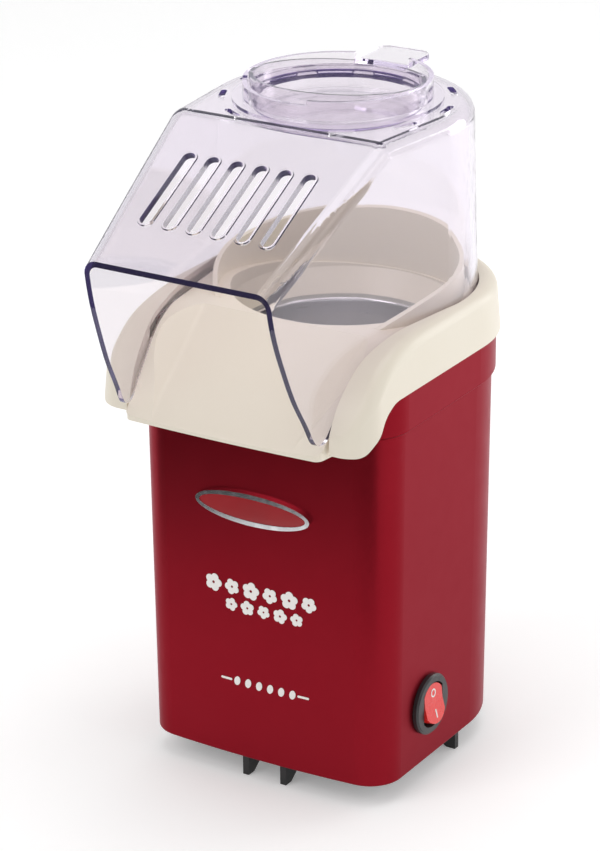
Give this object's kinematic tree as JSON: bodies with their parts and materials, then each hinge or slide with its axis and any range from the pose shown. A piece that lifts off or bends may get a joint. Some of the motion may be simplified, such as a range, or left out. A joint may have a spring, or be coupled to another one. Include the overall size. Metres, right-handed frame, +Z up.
{
  "type": "hot-air popcorn maker",
  "caption": "Countertop hot-air popcorn maker: drafted body, collar, chute, clear lift-off hood with slots and measuring cup, fan, heater and side rocker switch.",
  "frame": {"origin": "on the surface that the feet stand on, under the middle of the bounding box", "axes": "+Z up, -Y towards the chute and the hood's mouth, +X towards the rocker switch"},
  "size_m": [0.117, 0.1688, 0.2689],
  "materials": {
    "red_shell": "satin metallic red",
    "ivory": "gloss ivory",
    "clear": "clear, faint violet tint",
    "aluminium": "satin",
    "black_plastic": "fine grain",
    "switch_black": "satin",
    "rocker_red": "gloss",
    "white_print": "satin print",
    "badge_chrome": "polished",
    "badge_red": "gloss enamel",
    "gasket": "silicone",
    "steel": "satin",
    "nickel_wire": "heat-tinted",
    "mica": "pearly mica",
    "housing_plastic": "heat-resistant",
    "fan_plastic": "satin",
    "magnet": "matt ferrite",
    "copper": "enamelled copper",
    "brass_parts": "satin",
    "board": "circuit board",
    "diode_black": "moulded",
    "thermostat_ceramic": "ceramic",
    "lead_sleeve": "glass-fibre sleeve",
    "lead_pvc": "pvc"
  },
  "bodies": {
    "body": {"outer_shell": "red_shell", "collar": "ivory", "chute_funnel": "ivory", "popping_chamber": "aluminium", "chamber_gasket": "gasket", "chamber_screws": "steel", "air_duct": "steel", "mica_board_long": "mica", "mica_board_cross": "mica", "heater_coils": "nickel_wire", "thermostat": "thermostat_ceramic", "thermal_fuse": "steel", "diffuser": "housing_plastic", "fan_housing": "housing_plastic", "motor_can": "steel", "motor_end_cap": "black_plastic", "motor_bushings": "brass_parts", "motor_magnets": "magnet", "motor_brushes": "brass_parts", "motor_screws": "steel", "rectifier_board": "board", "rectifier_diodes": "diode_black", "switch_body": "switch_black", "switch_terminals": "brass_parts", "base_plate": "black_plastic", "base_screws": "steel", "housing_screws": "steel", "cord_gland": "black_plastic", "gland_nut": "black_plastic", "badge_frame": "badge_chrome", "badge_enamel": "badge_red", "front_print": "white_print", "lead_inlet_switch": "lead_pvc", "lead_switch_thermostat": "lead_sleeve", "lead_thermostat_fuse": "lead_sleeve", "lead_fuse_heater": "lead_sleeve", "lead_heater_rectifier": "lead_sleeve", "lead_rectifier_inlet": "lead_pvc"},
    "fan": {"motor_shaft": "steel", "armature": "steel", "armature_windings": "copper", "commutator": "brass_parts", "impeller": "fan_plastic"},
    "rocker": {"switch_rocker": "rocker_red", "rocker_marks": "white_print"},
    "contact": {"switch_contact": "brass_parts"},
    "hood": {"hood": "clear"},
    "cup": {"measuring_cup": "clear"}
  },
  "joints": [
    {"name": "fan_spin", "type": "hinge", "parent": "body", "child": "fan", "pos_m": [0, 0.02665, 0.05], "axis": [0, 0, 1], "continuous": true},
    {"name": "switch_rock", "type": "hinge", "parent": "body", "child": "rocker", "pos_m": [0.0528, 0.0023, 0.0326], "axis": [0, 1, 0], "range_deg": [0, 20]},
    {"name": "contact_rock", "type": "hinge", "parent": "body", "child": "contact", "pos_m": [0.0452, 0.0023, 0.0326], "axis": [0, 1, 0], "range_deg": [-12, 0]},
    {"name": "hood_lift", "type": "slide", "parent": "body", "child": "hood", "axis": [0, 0, 1], "range_m": [0, 0.06]},
    {"name": "cup_lift", "type": "slide", "parent": "hood", "child": "cup", "axis": [0, 0, 1], "range_m": [0, 0.04]}
  ],
  "couplings": [
    {"joint": "contact_rock", "follows": "switch_rock", "ratio": -0.6}
  ]
}
